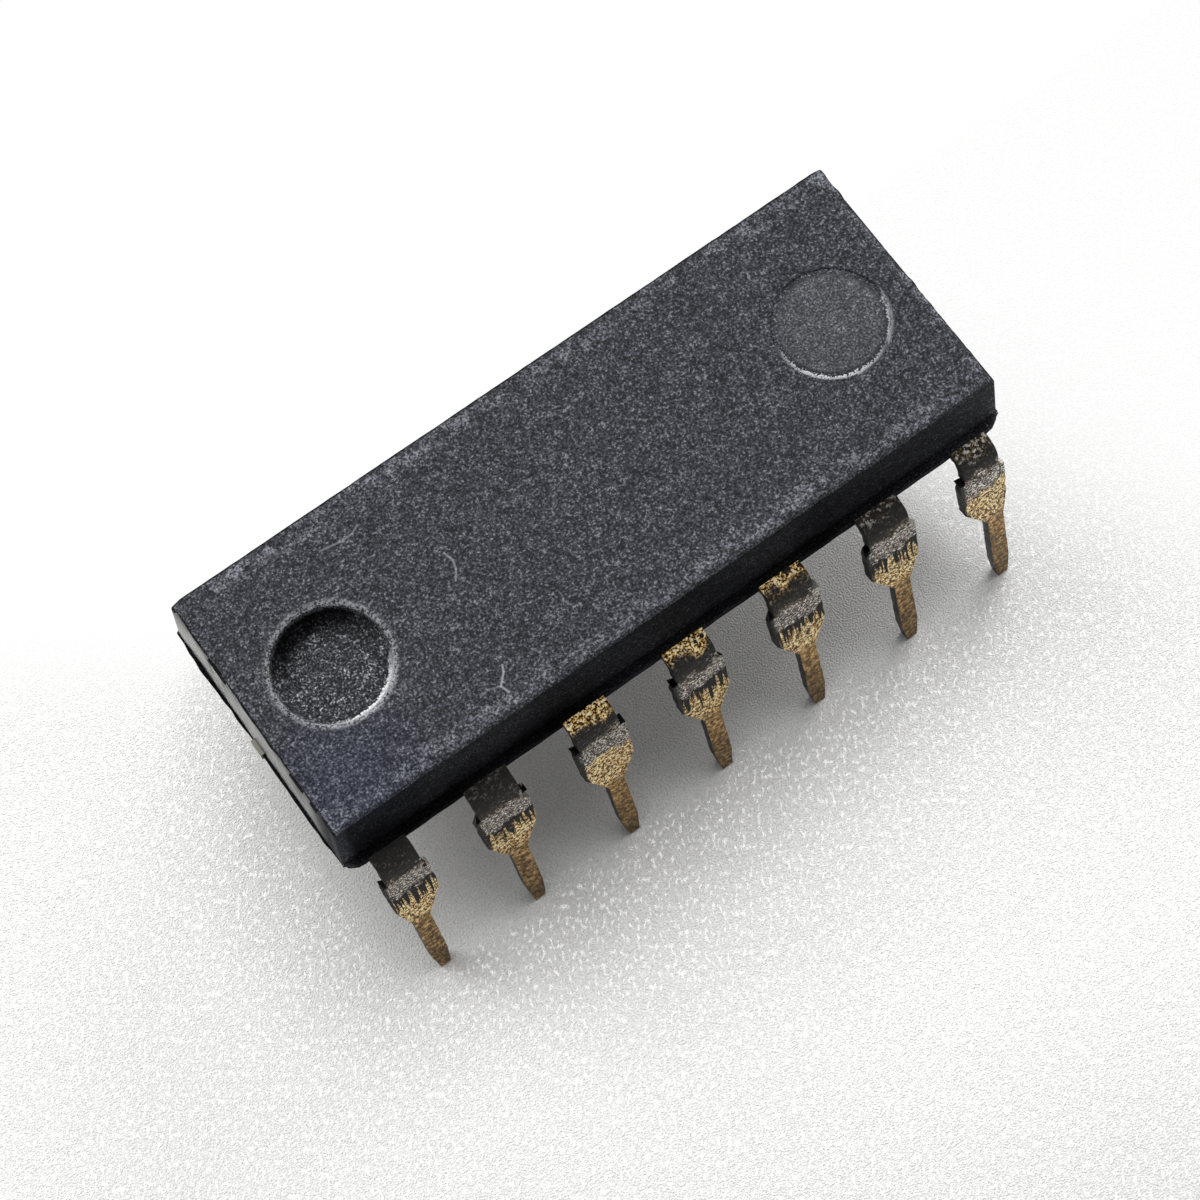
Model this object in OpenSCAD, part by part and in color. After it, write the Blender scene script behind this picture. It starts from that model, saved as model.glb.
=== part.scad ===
// Fourteen-lead dual in-line integrated circuit, moulded round a stamped lead frame.
// The long side runs along X, lead 1 is at the near left, and the lead tips stand on z = 0.

/* [Moulded body] */
// Length of the body at the parting line
body_length = 17; // [16.6:0.02:20]
// Width of the body at the parting line
body_width = 6.36; // [6.1:0.02:7.1]
// Height of the half above the parting line
upper_half = 1.88; // [1.3:0.02:2.2]
// Height of the half below the parting line
lower_half = 1.36; // [1.2:0.02:1.7]
// Draft of the side and end faces above the parting line, in degrees
draft_angle = 3; // [2:0.5:8]
// Draft of the same faces below it, in degrees
lower_draft_angle = 11; // [3:0.5:12]
// Width of the worn bevel along the edges of the top and bottom faces
edge_break = 0.08; // [0.04:0.01:0.15]
// How far the moulding flash stands out of the parting line at each end
end_flash = 0.08; // [0.04:0.01:0.12]
// Thickness of the flash at the ends
end_flash_thickness = 0.08; // [0.04:0.01:0.12]
// Width of the ledge left between the leads, where the dam bar held back the moulding
dam_ledge = 0.2; // [0.1:0.01:0.25]

/* [Marks on the top face] */
// Diameter of the lead 1 dimple and of the ejector pin mark
mark_diameter = 2.56; // [1.6:0.02:3]
// Distance of each mark's centre from the middle of the body
mark_offset = 6.4; // [5.6:0.02:6.8]
// Depth of the lead 1 dimple
dimple_depth = 0.35; // [0.2:0.05:0.5]
// Diameter of the flat in the middle of the dimple
dimple_flat_diameter = 1.5; // [0.8:0.05:1.5]
// Depth of that flat below the dimple's floor
dimple_flat_depth = 0.03; // [0.02:0.01:0.08]
// Depth of the ejector pin mark
ejector_depth = 0.05; // [0.02:0.01:0.1]

/* [Leads outside the body] */
// Number of leads on each long side
leads_per_side = 7; // [7:7]
// Distance from one lead's centre to the next
pitch = 2.54; // [2.5:0.01:2.56]
// Thickness of the lead frame's sheet
sheet = 0.25; // [0.2:0.01:0.3]
// Width of a lead where it leaves the body
exit_width = 1.07; // [0.9:0.01:1.3]
// How much narrower the corner leads are on the side that faces the body's end
corner_trim = 0.15; // [0:0.01:0.2]
// Flat length between the ledge and the bend
flat_length = 0.06; // [0.03:0.01:0.3]
// Radius of the bend on its outside
bend_radius = 0.45; // [0.35:0.01:0.6]
// Angle that each leg leans outward from the vertical
splay_angle = 11; // [0:0.5:16]
// Length from the end of the bend to the wide shoulder
neck_length = 0.08; // [0.05:0.01:0.3]
// Width of the shoulder at its top, where the dam bar was cut away
shoulder_width = 1.36; // [1.34:0.01:1.6]
// Width of the shoulder at its lower end
shoulder_low_width = 1.28; // [1.1:0.01:1.5]
// Length of the shoulder
shoulder_length = 1.48; // [1:0.02:2]
// Length of the taper from the shoulder to the pin
taper_length = 0.9; // [0.4:0.02:1.2]
// Width of the pin under the taper
pin_width = 0.5; // [0.4:0.01:0.6]
// Length of the pin to the tip's chamfers
pin_length = 1.84; // [1.5:0.02:2.4]
// Length of the chamfers at the tip
tip_length = 0.7; // [0.3:0.02:0.9]
// Width of the tip's end
tip_width = 0.28; // [0.15:0.01:0.35]

/* [Leads inside the body] */
// Width of a finger between its knee and its tip
finger_width = 0.5; // [0.4:0.01:0.6]
// Width of a finger's tip, where the wire is bonded
finger_tip_width = 0.4; // [0.3:0.01:0.42]
// Angle between one finger tip and the next, seen from the middle
finger_spread = 24; // [20:0.5:25]
// Gap between the die paddle and the nearest finger tips
finger_gap = 0.45; // [0.42:0.01:0.6]
// Diameter of the hole through each root that locks it into the moulding
lock_hole_diameter = 0.5; // [0.3:0.02:0.6]
// Distance of that hole's centre from the body's side
lock_hole_inset = 0.45; // [0.4:0.02:0.5]

/* [Die and paddle] */
// Length of the paddle that carries the die
paddle_length = 3.0; // [2.8:0.05:3.4]
// Width of the paddle
paddle_width = 2.2; // [2:0.05:2.6]
// Width of the two tie bars that held the paddle in the lead frame
tie_bar_width = 0.4; // [0.3:0.02:0.45]
// Length of the ramp that sets the paddle down below the fingers
ramp_length = 0.5; // [0.4:0.02:0.8]
// Length of the silicon die
die_length = 2.1; // [1.9:0.05:2.4]
// Width of the silicon die
die_width = 1.6; // [1.4:0.05:1.8]
// Thickness of the silicon die
die_thickness = 0.3; // [0.2:0.01:0.4]
// Thickness of the layer that glues the die down
attach_thickness = 0.03; // [0.02:0.01:0.05]
// How far that layer spreads past the die
attach_margin = 0.08; // [0.04:0.01:0.12]

/* [Bond wires] */
// Diameter of a bond wire
wire_diameter = 0.04; // [0.03:0.005:0.05]
// Height of the wire's loop over the die
loop_height = 0.3; // [0.25:0.01:0.4]
// Diameter of the bond at each end of a wire
bond_diameter = 0.1; // [0.08:0.01:0.14]
// Height of the bond at each end of a wire
bond_height = 0.05; // [0.04:0.005:0.06]
// Distance from one bond pad on the die to the next
pad_pitch = 0.27; // [0.2:0.01:0.28]
// Distance of the pads from the die's long edge
pad_inset = 0.12; // [0.1:0.01:0.2]

/* [Hidden] */
$fn = 32;
lead_count = 2 * leads_per_side;

function two_digits(n) = n < 10 ? str("0", n) : str(n);
function lead_name(n) = str("lead_", two_digits(n));
function wire_name(n) = str("bond_wire_", two_digits(n));

// Cutters reach this far past the face they open
cut_past = 0.1;

// Heights, from the tips upward
bend_angle = 90 - splay_angle;
leg_length = neck_length + shoulder_length + taper_length + pin_length + tip_length;
leg_top = leg_length * cos(splay_angle) + sheet * sin(splay_angle);
sheet_top = leg_top + bend_radius * (1 - cos(bend_angle));
parting_z = sheet_top - sheet / 2;
sheet_bottom = sheet_top - sheet;
die_top = sheet_top;
paddle_top = die_top - die_thickness - attach_thickness;
paddle_drop = sheet_top - paddle_top;

// Places across the body
wall_y = body_width / 2;
bend_y = wall_y + dam_ledge + flat_length;
tie_bar_end = body_length / 2 + end_flash;

// Place of a lead in its row: 0 for the middle one, negative to the left
row_middle = (leads_per_side - 1) / 2;
function row_place(n) = (n - 1) % leads_per_side - row_middle;

// Half width on one side of a lead's middle (side -1 or 1), less on a corner lead's outer side
function side_width(k, side, width) = width / 2 - (k * side == row_middle ? corner_trim : 0);
function root_width(k) = side_width(k, -1, exit_width) + side_width(k, 1, exit_width);
function root_middle(k) = (side_width(k, 1, exit_width) - side_width(k, -1, exit_width)) / 2;

// A finger runs straight in to its knee, then slants to its tip, and the outer ones go deepest
knee_share = [0.72, 0.68, 0.54, 0.3];
function knee(k) = [k * pitch, -wall_y * knee_share[abs(k)]];
function finger_tip(k) = [
    (paddle_length / 2 + 2 * finger_gap) * sin(k * finger_spread),
    -(paddle_width / 2 + finger_gap + finger_tip_width / 2) * cos(k * finger_spread)
];
function die_pad(k) = [k * pad_pitch, -(die_width / 2 - pad_inset)];

// Side and end faces lean in from the parting line by their draft, up to the worn edges
module draft_profile(width) {
    top_lean = upper_half * tan(draft_angle);
    low_lean = lower_half * tan(lower_draft_angle);
    right_side = [
        [width / 2 - low_lean - edge_break, -lower_half],
        [width / 2 - low_lean, edge_break - lower_half],
        [width / 2, 0],
        [width / 2 - top_lean, upper_half - edge_break],
        [width / 2 - top_lean - edge_break, upper_half]
    ];
    last = len(right_side) - 1;
    polygon(concat(right_side, [for (i = [last : -1 : 0]) [-right_side[i][0], right_side[i][1]]]));
}

// Profile drawn across a prism's length, which runs along X and is centred
module prism_along_x(length) {
    translate([-length / 2, 0, 0])
        rotate([90, 0, 90])
            linear_extrude(length)
                children();
}

module drafted_block() {
    intersection() {
        prism_along_x(body_length)
            draft_profile(body_width);
        rotate([0, 0, 90])
            prism_along_x(body_width)
                draft_profile(body_length);
    }
}

// Slab through the parting plane that stands out as a thin lip
module parting_slab(length, width, thickness) {
    translate([0, 0, -thickness / 2])
        linear_extrude(thickness)
            square([length, width], center = true);
}

// Round-walled dimple with a second, slightly deeper flat in its middle
module dimple_cutter() {
    floor_radius = mark_diameter / 2 - dimple_depth;
    rotate_extrude() {
        translate([0, -dimple_depth])
            square([floor_radius, dimple_depth]);
        intersection() {
            translate([floor_radius, 0])
                circle(dimple_depth);
            translate([floor_radius, -dimple_depth])
                square(dimple_depth);
        }
        translate([0, -dimple_depth - dimple_flat_depth])
            square([dimple_flat_diameter / 2, dimple_flat_depth]);
        square([mark_diameter / 2, cut_past]);
    }
}

module ejector_cutter() {
    translate([0, 0, -ejector_depth])
        cylinder(d = mark_diameter, h = ejector_depth + cut_past);
}

module moulded_body() {
    color("#36373b")
        difference() {
            translate([0, 0, parting_z]) {
                drafted_block();
                parting_slab(body_length + 2 * end_flash, body_width, end_flash_thickness);
                parting_slab(body_length, body_width + 2 * dam_ledge, sheet);
            }
            translate([-mark_offset, 0, parting_z + upper_half])
                dimple_cutter();
            translate([mark_offset, 0, parting_z + upper_half])
                ejector_cutter();
            for (n = [1 : lead_count]) {
                on_its_side(n)
                    embedded_strip(row_place(n));
                bond_wire(n);
            }
            die_paddle();
            die_attach();
            silicon_die();
        }
}

// Near row from left to right, then far row from right to left
module on_its_side(n) {
    rotate([0, 0, n <= leads_per_side ? 0 : 180])
        children();
}

// Flat bar between two points, with its own width at each end
module tapered_bar(from, to, from_width, to_width) {
    along = (to - from) / norm(to - from);
    across = [-along[1], along[0]];
    polygon([
        from + across * from_width / 2,
        to + across * to_width / 2,
        to - across * to_width / 2,
        from - across * from_width / 2
    ]);
}

// Outline of a lead from its bonded tip to the start of its bend, seen from above
module strip_outline(k) {
    difference() {
        union() {
            translate([k * pitch - side_width(k, -1, exit_width), -bend_y])
                square([root_width(k), bend_y + knee(k)[1]]);
            translate(knee(k) + [root_middle(k), 0])
                circle(d = root_width(k));
            tapered_bar(knee(k), finger_tip(k), finger_width, finger_tip_width);
            translate(finger_tip(k))
                circle(d = finger_tip_width);
        }
        translate([k * pitch, -wall_y + lock_hole_inset])
            circle(d = lock_hole_diameter);
    }
}

module embedded_strip(k) {
    translate([0, 0, sheet_bottom])
        linear_extrude(sheet)
            strip_outline(k);
}

// Quarter turn of the strip round an axis along X, short of vertical by the splay
module bend(k) {
    rotate(180, [1, 0, 1])
        rotate_extrude(angle = bend_angle)
            translate([bend_radius - sheet, -side_width(k, -1, exit_width)])
                square([sheet, root_width(k)]);
}

// Outline of the leg below its bend, drawn downward from the bend's end
module leg_outline(k) {
    shoulder_start = neck_length;
    shoulder_end = shoulder_start + shoulder_length;
    taper_end = shoulder_end + taper_length;
    chamfer_start = taper_end + pin_length;
    function edge(side) = [
        [side * side_width(k, side, exit_width), 0],
        [side * side_width(k, side, exit_width), shoulder_start],
        [side * side_width(k, side, shoulder_width), shoulder_start],
        [side * side_width(k, side, shoulder_low_width), shoulder_end],
        [side * pin_width / 2, taper_end],
        [side * pin_width / 2, chamfer_start],
        [side * tip_width / 2, leg_length]
    ];
    left = edge(-1);
    last = len(left) - 1;
    polygon(concat(edge(1), [for (i = [last : -1 : 0]) left[i]]));
}

module lead(n) {
    k = row_place(n);
    color("#b08a45")
        on_its_side(n) {
            embedded_strip(k);
            translate([k * pitch, -bend_y, sheet_top - bend_radius]) {
                bend(k);
                translate([0, -bend_radius * sin(bend_angle), bend_radius * cos(bend_angle)])
                    rotate([-90 - splay_angle, 0, 0])
                        linear_extrude(sheet)
                            leg_outline(k);
            }
        }
}

// One tie bar, seen from the side: a ramp up from the paddle and a flat run to the body's end
module tie_bar_profile() {
    ramp_start = paddle_length / 2;
    ramp_end = ramp_start + ramp_length;
    polygon([
        [0, 0],
        [ramp_start, 0],
        [ramp_end, paddle_drop],
        [tie_bar_end, paddle_drop],
        [tie_bar_end, paddle_drop - sheet],
        [ramp_end, paddle_drop - sheet],
        [ramp_start, -sheet],
        [0, -sheet]
    ]);
}

module die_paddle() {
    color("#a9946b")
        translate([0, 0, paddle_top]) {
            translate([0, 0, -sheet])
                linear_extrude(sheet)
                    square([paddle_length, paddle_width], center = true);
            for (turn = [0, 180])
                rotate([0, 0, turn])
                    translate([0, tie_bar_width / 2, 0])
                        rotate([90, 0, 0])
                            linear_extrude(tie_bar_width)
                                tie_bar_profile();
        }
}

module die_attach() {
    color("silver")
        translate([0, 0, paddle_top])
            linear_extrude(attach_thickness)
                square([die_length + 2 * attach_margin, die_width + 2 * attach_margin], center = true);
}

module silicon_die() {
    color("#55606b")
        translate([0, 0, paddle_top + attach_thickness])
            linear_extrude(die_thickness)
                square([die_length, die_width], center = true);
}

// Round arc over the straight line between two points, seen from the side
module wire_loop(span) {
    arc_radius = (span * span / 4 + loop_height * loop_height) / (2 * loop_height);
    half_angle = asin(span / 2 / arc_radius);
    translate([span / 2, 0, bond_height / 2 + loop_height - arc_radius])
        rotate([90, 0, 0])
            rotate([0, 0, 90 - half_angle])
                rotate_extrude(angle = 2 * half_angle)
                    translate([arc_radius, 0])
                        circle(d = wire_diameter);
}

module bond() {
    cylinder(d = bond_diameter, h = bond_height);
}

module bond_wire(n) {
    k = row_place(n);
    reach = finger_tip(k) - die_pad(k);
    color("gold")
        on_its_side(n)
            translate([die_pad(k)[0], die_pad(k)[1], die_top])
                rotate([0, 0, atan2(reach[1], reach[0])]) {
                    wire_loop(norm(reach));
                    bond();
                    translate([norm(reach), 0, 0])
                        bond();
                }
}

moulded_body();
die_paddle();
die_attach();
silicon_die();
for (n = [1 : lead_count]) {
    lead(n);
    bond_wire(n);
}
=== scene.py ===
"""A scuffed fourteen-lead chip standing on a sheet of white foam."""

import math

import bmesh
import bpy
from mathutils import Matrix, Vector, noise


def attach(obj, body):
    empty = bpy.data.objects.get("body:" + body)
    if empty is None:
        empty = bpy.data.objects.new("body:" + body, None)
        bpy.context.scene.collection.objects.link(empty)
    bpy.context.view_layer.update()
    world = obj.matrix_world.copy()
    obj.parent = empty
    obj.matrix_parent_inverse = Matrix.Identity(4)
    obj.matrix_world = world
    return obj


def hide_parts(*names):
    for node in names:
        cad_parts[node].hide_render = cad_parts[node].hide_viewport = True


MM = 0.001
WHITE = (1, 1, 1, 1)
# Faces that meet at less than this are shaded as one
SHARPEST_SMOOTH = math.radians(35)

# The moulding, in millimetres
BODY_LENGTH = 17.0
BODY_WIDTH = 6.36
UPPER_HALF = 1.88
LOWER_HALF = 1.36
UPPER_DRAFT = math.radians(3)
LOWER_DRAFT = math.radians(11)
END_FLASH = 0.08
END_FLASH_THICKNESS = 0.08
DAM_LEDGE = 0.2
MARK_RADIUS = 1.28
MARK_OFFSET = 6.4
DIMPLE_DEPTH = 0.35
DIMPLE_FLAT_RADIUS = 0.75
DIMPLE_FLAT_STEP = 0.015
DIMPLE_ROUNDING = 0.28
EJECTOR_DEPTH = 0.05
EJECTOR_GROOVE_WIDTH = 0.06
EJECTOR_GROOVE_DEPTH = 0.025
# How far the top's rubbed edges reach, down from the top face and inward from its rim
WEAR_REACH = 0.2
RIM_BAND = 0.2
EDGE_ROUNDING = 0.07
LEDGE_ROUNDING = 0.03

# The leads
PITCH = 2.54
SHEET = 0.25
EXIT_WIDTH = 1.07
CORNER_TRIM = 0.15
FLAT_LENGTH = 0.06
BEND_RADIUS = 0.45
SPLAY = math.radians(11)
NECK_LENGTH = 0.3
NECK_FLARE = 0.03
SHOULDER_WIDTH = 1.36
SHOULDER_LOW_WIDTH = 1.28
SHOULDER_LENGTH = 1.26
TAPER_LENGTH = 0.9
PIN_WIDTH = 0.44
PIN_LENGTH = 1.84
TIP_LENGTH = 0.7
TIP_WIDTH = 0.28
CUT_ROUNDING = 0.018

# Heights and places that follow from them
LEG_LENGTH = NECK_LENGTH + SHOULDER_LENGTH + TAPER_LENGTH + PIN_LENGTH + TIP_LENGTH
BEND_ANGLE = math.pi / 2 - SPLAY
LEG_TOP = LEG_LENGTH * math.cos(SPLAY) + SHEET * math.sin(SPLAY)
SHEET_TOP = LEG_TOP + BEND_RADIUS * (1 - math.cos(BEND_ANGLE))
PARTING = SHEET_TOP - SHEET / 2
TOP = PARTING + UPPER_HALF
BOTTOM = PARTING - LOWER_HALF
WALL_Y = BODY_WIDTH / 2
BEND_Y = WALL_Y + DAM_LEDGE + FLAT_LENGTH
# A skin of resin bleeds over the leads' roots
LEDGE_HALF = SHEET / 2 + 0.012
# The sheared tops of the shoulder's tabs slant down over this length, towards the body side
TAB_SLANT = 0.3
# How far each lead's tabs were torn off below their corners, left and right, from lead 1
TAB_TORN = (
    (0.0, 0.2), (0.0, 0.2), (0.05, 0.0), (0.0, 0.1), (0.0, 0.05), (0.1, 0.0), (0.0, 0.1),
    (0.05, 0.0), (0.0, 0.15), (0.1, 0.0), (0.0, 0.0), (0.15, 0.0), (0.0, 0.1), (0.0, 0.0))
# How far each pin leans to the right below the shoulder
PIN_LEAN = (-0.04, -0.02, 0.0, 0.02, 0.05, 0.09, 0.12, 0.03, -0.05, 0.02, 0.06, -0.02, 0.0, -0.06)


# Helpers for modelling

def select_only(piece):
    bpy.ops.object.select_all(action="DESELECT")
    piece.select_set(True)
    bpy.context.view_layer.objects.active = piece


def start_editing(piece):
    select_only(piece)
    bpy.ops.object.mode_set(mode="EDIT")


def stop_editing():
    bpy.ops.object.mode_set(mode="OBJECT")


def pick(piece, kind, test):
    """Selects only the faces, edges or vertices that pass the test."""
    bpy.ops.mesh.select_mode(type={"faces": "FACE", "edges": "EDGE", "verts": "VERT"}[kind])
    bpy.ops.mesh.select_all(action="DESELECT")
    shape = bmesh.from_edit_mesh(piece.data)
    shape.normal_update()
    for part in getattr(shape, kind):
        if test(part):
            part.select_set(True)
    bmesh.update_edit_mesh(piece.data)


def cut_ring(height):
    """Cuts a ring of edges round the whole piece at a height in millimetres."""
    bpy.ops.mesh.select_all(action="SELECT")
    bpy.ops.mesh.bisect(plane_co=(0, 0, height * MM), plane_no=(0, 0, 1), threshold=1e-8)


def middle(edge):
    return (edge.verts[0].co + edge.verts[1].co) / 2


def runs_along(edge, axis):
    step = edge.verts[1].co - edge.verts[0].co
    return abs(step[axis]) > 0.995 * step.length


def finish_modifier(piece, modifier):
    select_only(piece)
    bpy.ops.object.modifier_apply(modifier=modifier.name)


def settle(piece):
    """Puts the piece's place into its mesh and shades it."""
    select_only(piece)
    bpy.ops.object.transform_apply(location=True, rotation=True, scale=True)
    bpy.ops.object.shade_smooth_by_angle(angle=SHARPEST_SMOOTH)


# The moulded body

def cut_away(piece, cutter):
    """Takes the cutter's shape out of the piece."""
    difference = piece.modifiers.new("cut", "BOOLEAN")
    difference.operation = "DIFFERENCE"
    difference.solver = "EXACT"
    difference.object = cutter
    finish_modifier(piece, difference)
    bpy.data.objects.remove(cutter)


def drum(middle_x, depth):
    """The plain drum that both round marks are cut with, half of it above the top face."""
    bpy.ops.mesh.primitive_cylinder_add(
        vertices=128, radius=MARK_RADIUS * MM, depth=2 * depth * MM,
        location=(middle_x * MM, 0, TOP * MM))
    cutter = bpy.context.object
    bpy.ops.object.transform_apply(location=True, rotation=True, scale=True)
    return cutter


def flare_lip(cutter, middle_x, lip):
    """Widens the drum in rings up to the top face, so that the rim it leaves is rounded."""
    for below, _ in lip:
        cut_ring(TOP - below)
    for below, wider in lip:
        ring_z = (TOP - below) * MM
        top_ring = below == lip[-1][0]
        pick(cutter, "verts", lambda v: abs(v.co.z - ring_z) < 1e-7 or top_ring and v.co.z > ring_z)
        grow = (MARK_RADIUS + wider) / MARK_RADIUS
        bpy.ops.transform.resize(value=(grow, grow, 1), center_override=(middle_x * MM, 0, ring_z))


def dimple_cutter():
    """Rounded at its floor and its lip, with a second, slightly deeper flat in the middle."""
    cutter = drum(-MARK_OFFSET, DIMPLE_DEPTH)
    start_editing(cutter)
    floor_z = (TOP - DIMPLE_DEPTH) * MM
    pick(cutter, "edges", lambda edge: all(abs(v.co.z - floor_z) < 1e-6 for v in edge.verts))
    bpy.ops.mesh.bevel(offset=DIMPLE_ROUNDING * MM, segments=8, affect="EDGES")
    pick(cutter, "faces", lambda face: face.normal.z < -0.99 and len(face.verts) > 20)
    bpy.ops.mesh.inset(thickness=(MARK_RADIUS - DIMPLE_ROUNDING - DIMPLE_FLAT_RADIUS) * MM, depth=0)
    bpy.ops.mesh.extrude_region_move(
        TRANSFORM_OT_translate={"value": (0, 0, -DIMPLE_FLAT_STEP * MM)})
    bpy.ops.transform.resize(
        value=(0.88, 0.88, 1), center_override=(-MARK_OFFSET * MM, 0, floor_z))
    flare_lip(cutter, -MARK_OFFSET, (
        (0.09, 0), (0.05, 0.015), (0.022, 0.045), (0.007, 0.085), (-0.003, 0.15)))
    stop_editing()
    return cutter


def ejector_cutter():
    """The shallow round print of the ejector pin, with a fine groove round it."""
    cutter = drum(MARK_OFFSET, EJECTOR_DEPTH)
    start_editing(cutter)
    pick(cutter, "faces", lambda face: face.normal.z < -0.99)
    bpy.ops.mesh.inset(thickness=EJECTOR_GROOVE_WIDTH * MM, depth=0)
    bpy.ops.transform.translate(value=(0, 0, EJECTOR_GROOVE_DEPTH * MM))
    flare_lip(cutter, MARK_OFFSET, ((0.02, 0), (-0.002, 0.03)))
    stop_editing()
    return cutter


def moulded_body():
    """A block drawn in from its parting line, with flash, ledges, worn edges and round marks."""
    bpy.ops.mesh.primitive_cube_add(
        size=1, location=(0, 0, (TOP + BOTTOM) / 2 * MM),
        scale=(BODY_LENGTH * MM, BODY_WIDTH * MM, (TOP - BOTTOM) * MM))
    body = bpy.context.object
    body.name = "moulded_body_skin"
    bpy.ops.object.transform_apply(location=True, rotation=True, scale=True)

    # Parting line, draft, and the rings that bound the ledges and the flash
    start_editing(body)
    cut_ring(PARTING)
    for side, height, draft in ((1, UPPER_HALF, UPPER_DRAFT), (-1, LOWER_HALF, LOWER_DRAFT)):
        pick(body, "verts", lambda v: side * (v.co.z - PARTING * MM) > 0.1 * MM)
        lean = 2 * height * math.tan(draft)
        bpy.ops.transform.resize(
            value=((BODY_LENGTH - lean) / BODY_LENGTH, (BODY_WIDTH - lean) / BODY_WIDTH, 1),
            center_override=(0, 0, PARTING * MM))
    # Top and bottom edges and the four corners, rounded as a used mould leaves them
    pick(body, "edges", lambda edge: edge.calc_face_angle(0) > 1)
    bpy.ops.mesh.bevel(offset=EDGE_ROUNDING * MM, segments=3, affect="EDGES", clamp_overlap=False)
    for offset in (UPPER_HALF - WEAR_REACH, LEDGE_HALF, END_FLASH_THICKNESS / 2,
                   -END_FLASH_THICKNESS / 2, -LEDGE_HALF):
        cut_ring(PARTING + offset)
    # Enough points along the edges for wear and ragged flash
    pick(body, "edges", lambda edge: runs_along(edge, 0) and edge.calc_length() > 12 * MM)
    bpy.ops.mesh.subdivide(number_cuts=150)
    pick(body, "edges", lambda edge: runs_along(edge, 1) and edge.calc_length() > 4 * MM)
    bpy.ops.mesh.subdivide(number_cuts=70)

    # Ledges between the leads, where the dam bar held the moulding back
    for side in (-1, 1):
        pick(body, "faces", lambda face: side * face.normal.y > 0.9
             and abs(face.calc_center_median().z - PARTING * MM) < LEDGE_HALF * MM)
        bpy.ops.mesh.extrude_region_move(
            TRANSFORM_OT_translate={"value": (0, side * DAM_LEDGE * MM, 0)})
        edge_y = side * (WALL_Y + DAM_LEDGE) * MM
        bpy.ops.transform.resize(value=(1, 0, 1), center_override=(0, edge_y, 0))
        pick(body, "edges", lambda edge: edge.calc_face_angle(0) > 1 and runs_along(edge, 0)
             and side * middle(edge).y > (WALL_Y + DAM_LEDGE / 2) * MM)
        bpy.ops.mesh.bevel(
            offset=LEDGE_ROUNDING * MM, segments=2, affect="EDGES", clamp_overlap=False)
    # Flash squeezed out at both ends
    for side in (-1, 1):
        pick(body, "faces", lambda face: side * face.normal.x > 0.9
             and abs(face.calc_center_median().z - PARTING * MM) < END_FLASH_THICKNESS / 2 * MM)
        bpy.ops.mesh.extrude_region_move(
            TRANSFORM_OT_translate={"value": (side * END_FLASH * MM, 0, 0)})
        edge_x = side * (BODY_LENGTH / 2 + END_FLASH) * MM
        bpy.ops.transform.resize(value=(0, 1, 1), center_override=(edge_x, 0, 0))
    stop_editing()
    wear_body(body)
    cut_away(body, dimple_cutter())
    cut_away(body, ejector_cutter())
    ends = body.data.attributes.new("end face", "FLOAT", "FACE")
    ends.data.foreach_set("value", [float(abs(face.normal.x) > 0.9) for face in body.data.polygons])
    settle(body)
    return body


def flash_width(y, end):
    """How far the ragged flash stands out, in shares of its most, along one end of the body."""
    slow = noise.noise(Vector((y * 0.75, 3.1 + end, 0)))
    fast = noise.noise(Vector((y * 3.2, 9.4 + end, 0)))
    return min(1, max(0.12, 0.45 + 0.9 * slow + 0.35 * fast))


def wear_body(body):
    """Rubs the top edges down unevenly and breaks the flash, always inward."""
    half_length, half_width = BODY_LENGTH / 2 * MM, WALL_Y * MM
    for v in body.data.vertices:
        place = v.co / MM
        # The ledge is rounded off towards the corners
        past_leads = min(1, max(0, (abs(place.x) - 8.12) / 0.38))
        if abs(place.y) > WALL_Y + 0.01:
            stand = (abs(place.y) - WALL_Y) * (1 - past_leads ** 2)
            v.co.y = math.copysign(WALL_Y + stand, place.y) * MM
        if abs(place.x) > BODY_LENGTH / 2 + 0.02:
            end = math.copysign(1, place.x)
            stand = END_FLASH * flash_width(place.y, end)
            v.co.x = end * (BODY_LENGTH / 2 + stand) * MM
            continue
        near_top = place.z > TOP - 0.09
        at_end = abs(v.co.x) > half_length - RIM_BAND * MM
        if near_top and (at_end or abs(v.co.y) > half_width - RIM_BAND * MM):
            rub = 0.5 + 0.5 * noise.noise(place * 4.2)
            chip = max(0, noise.noise(place * 1.7 + Vector((7, 3, 1))) - 0.35)
            wave = 0
            if at_end:
                wave = 0.5 + 1.1 * noise.noise(Vector((place.y * 1.9, 4.7 + place.x, 0)))
            depth = (0.018 * rub + 0.08 * chip + 0.085 * min(1, max(0, wave))) * MM
            inward = Vector((-math.copysign(1, place.x) if abs(place.x) > 8 else 0,
                             -math.copysign(1, place.y) if abs(place.y) > 2.9 else 0, -0.8))
            v.co += inward.normalized() * depth
        if abs(place.y) > WALL_Y + 0.02:
            side = math.copysign(1, place.y)
            worn = max(0, noise.noise(Vector((place.x * 2.6, side * 5, place.z * 3))))
            v.co.y -= side * 0.02 * worn * MM


# The leads

def along_lead(y, z):
    """Length along the strip's outer face from the body's wall, for a point of the near row."""
    if z > SHEET_TOP - 1e-4:
        return -y - WALL_Y
    arc_y, arc_z = -y - BEND_Y, SHEET_TOP - BEND_RADIUS
    angle = math.atan2(arc_y, z - arc_z)
    if angle < BEND_ANGLE - 1e-3 and z > arc_z:
        return BEND_Y - WALL_Y + BEND_RADIUS * angle
    end_y = BEND_RADIUS * math.sin(BEND_ANGLE)
    end_z = arc_z + BEND_RADIUS * math.cos(BEND_ANGLE)
    down = (arc_y - end_y) * math.sin(SPLAY) + (end_z - z) * math.cos(SPLAY)
    return BEND_Y - WALL_Y + BEND_RADIUS * BEND_ANGLE + down


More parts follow.
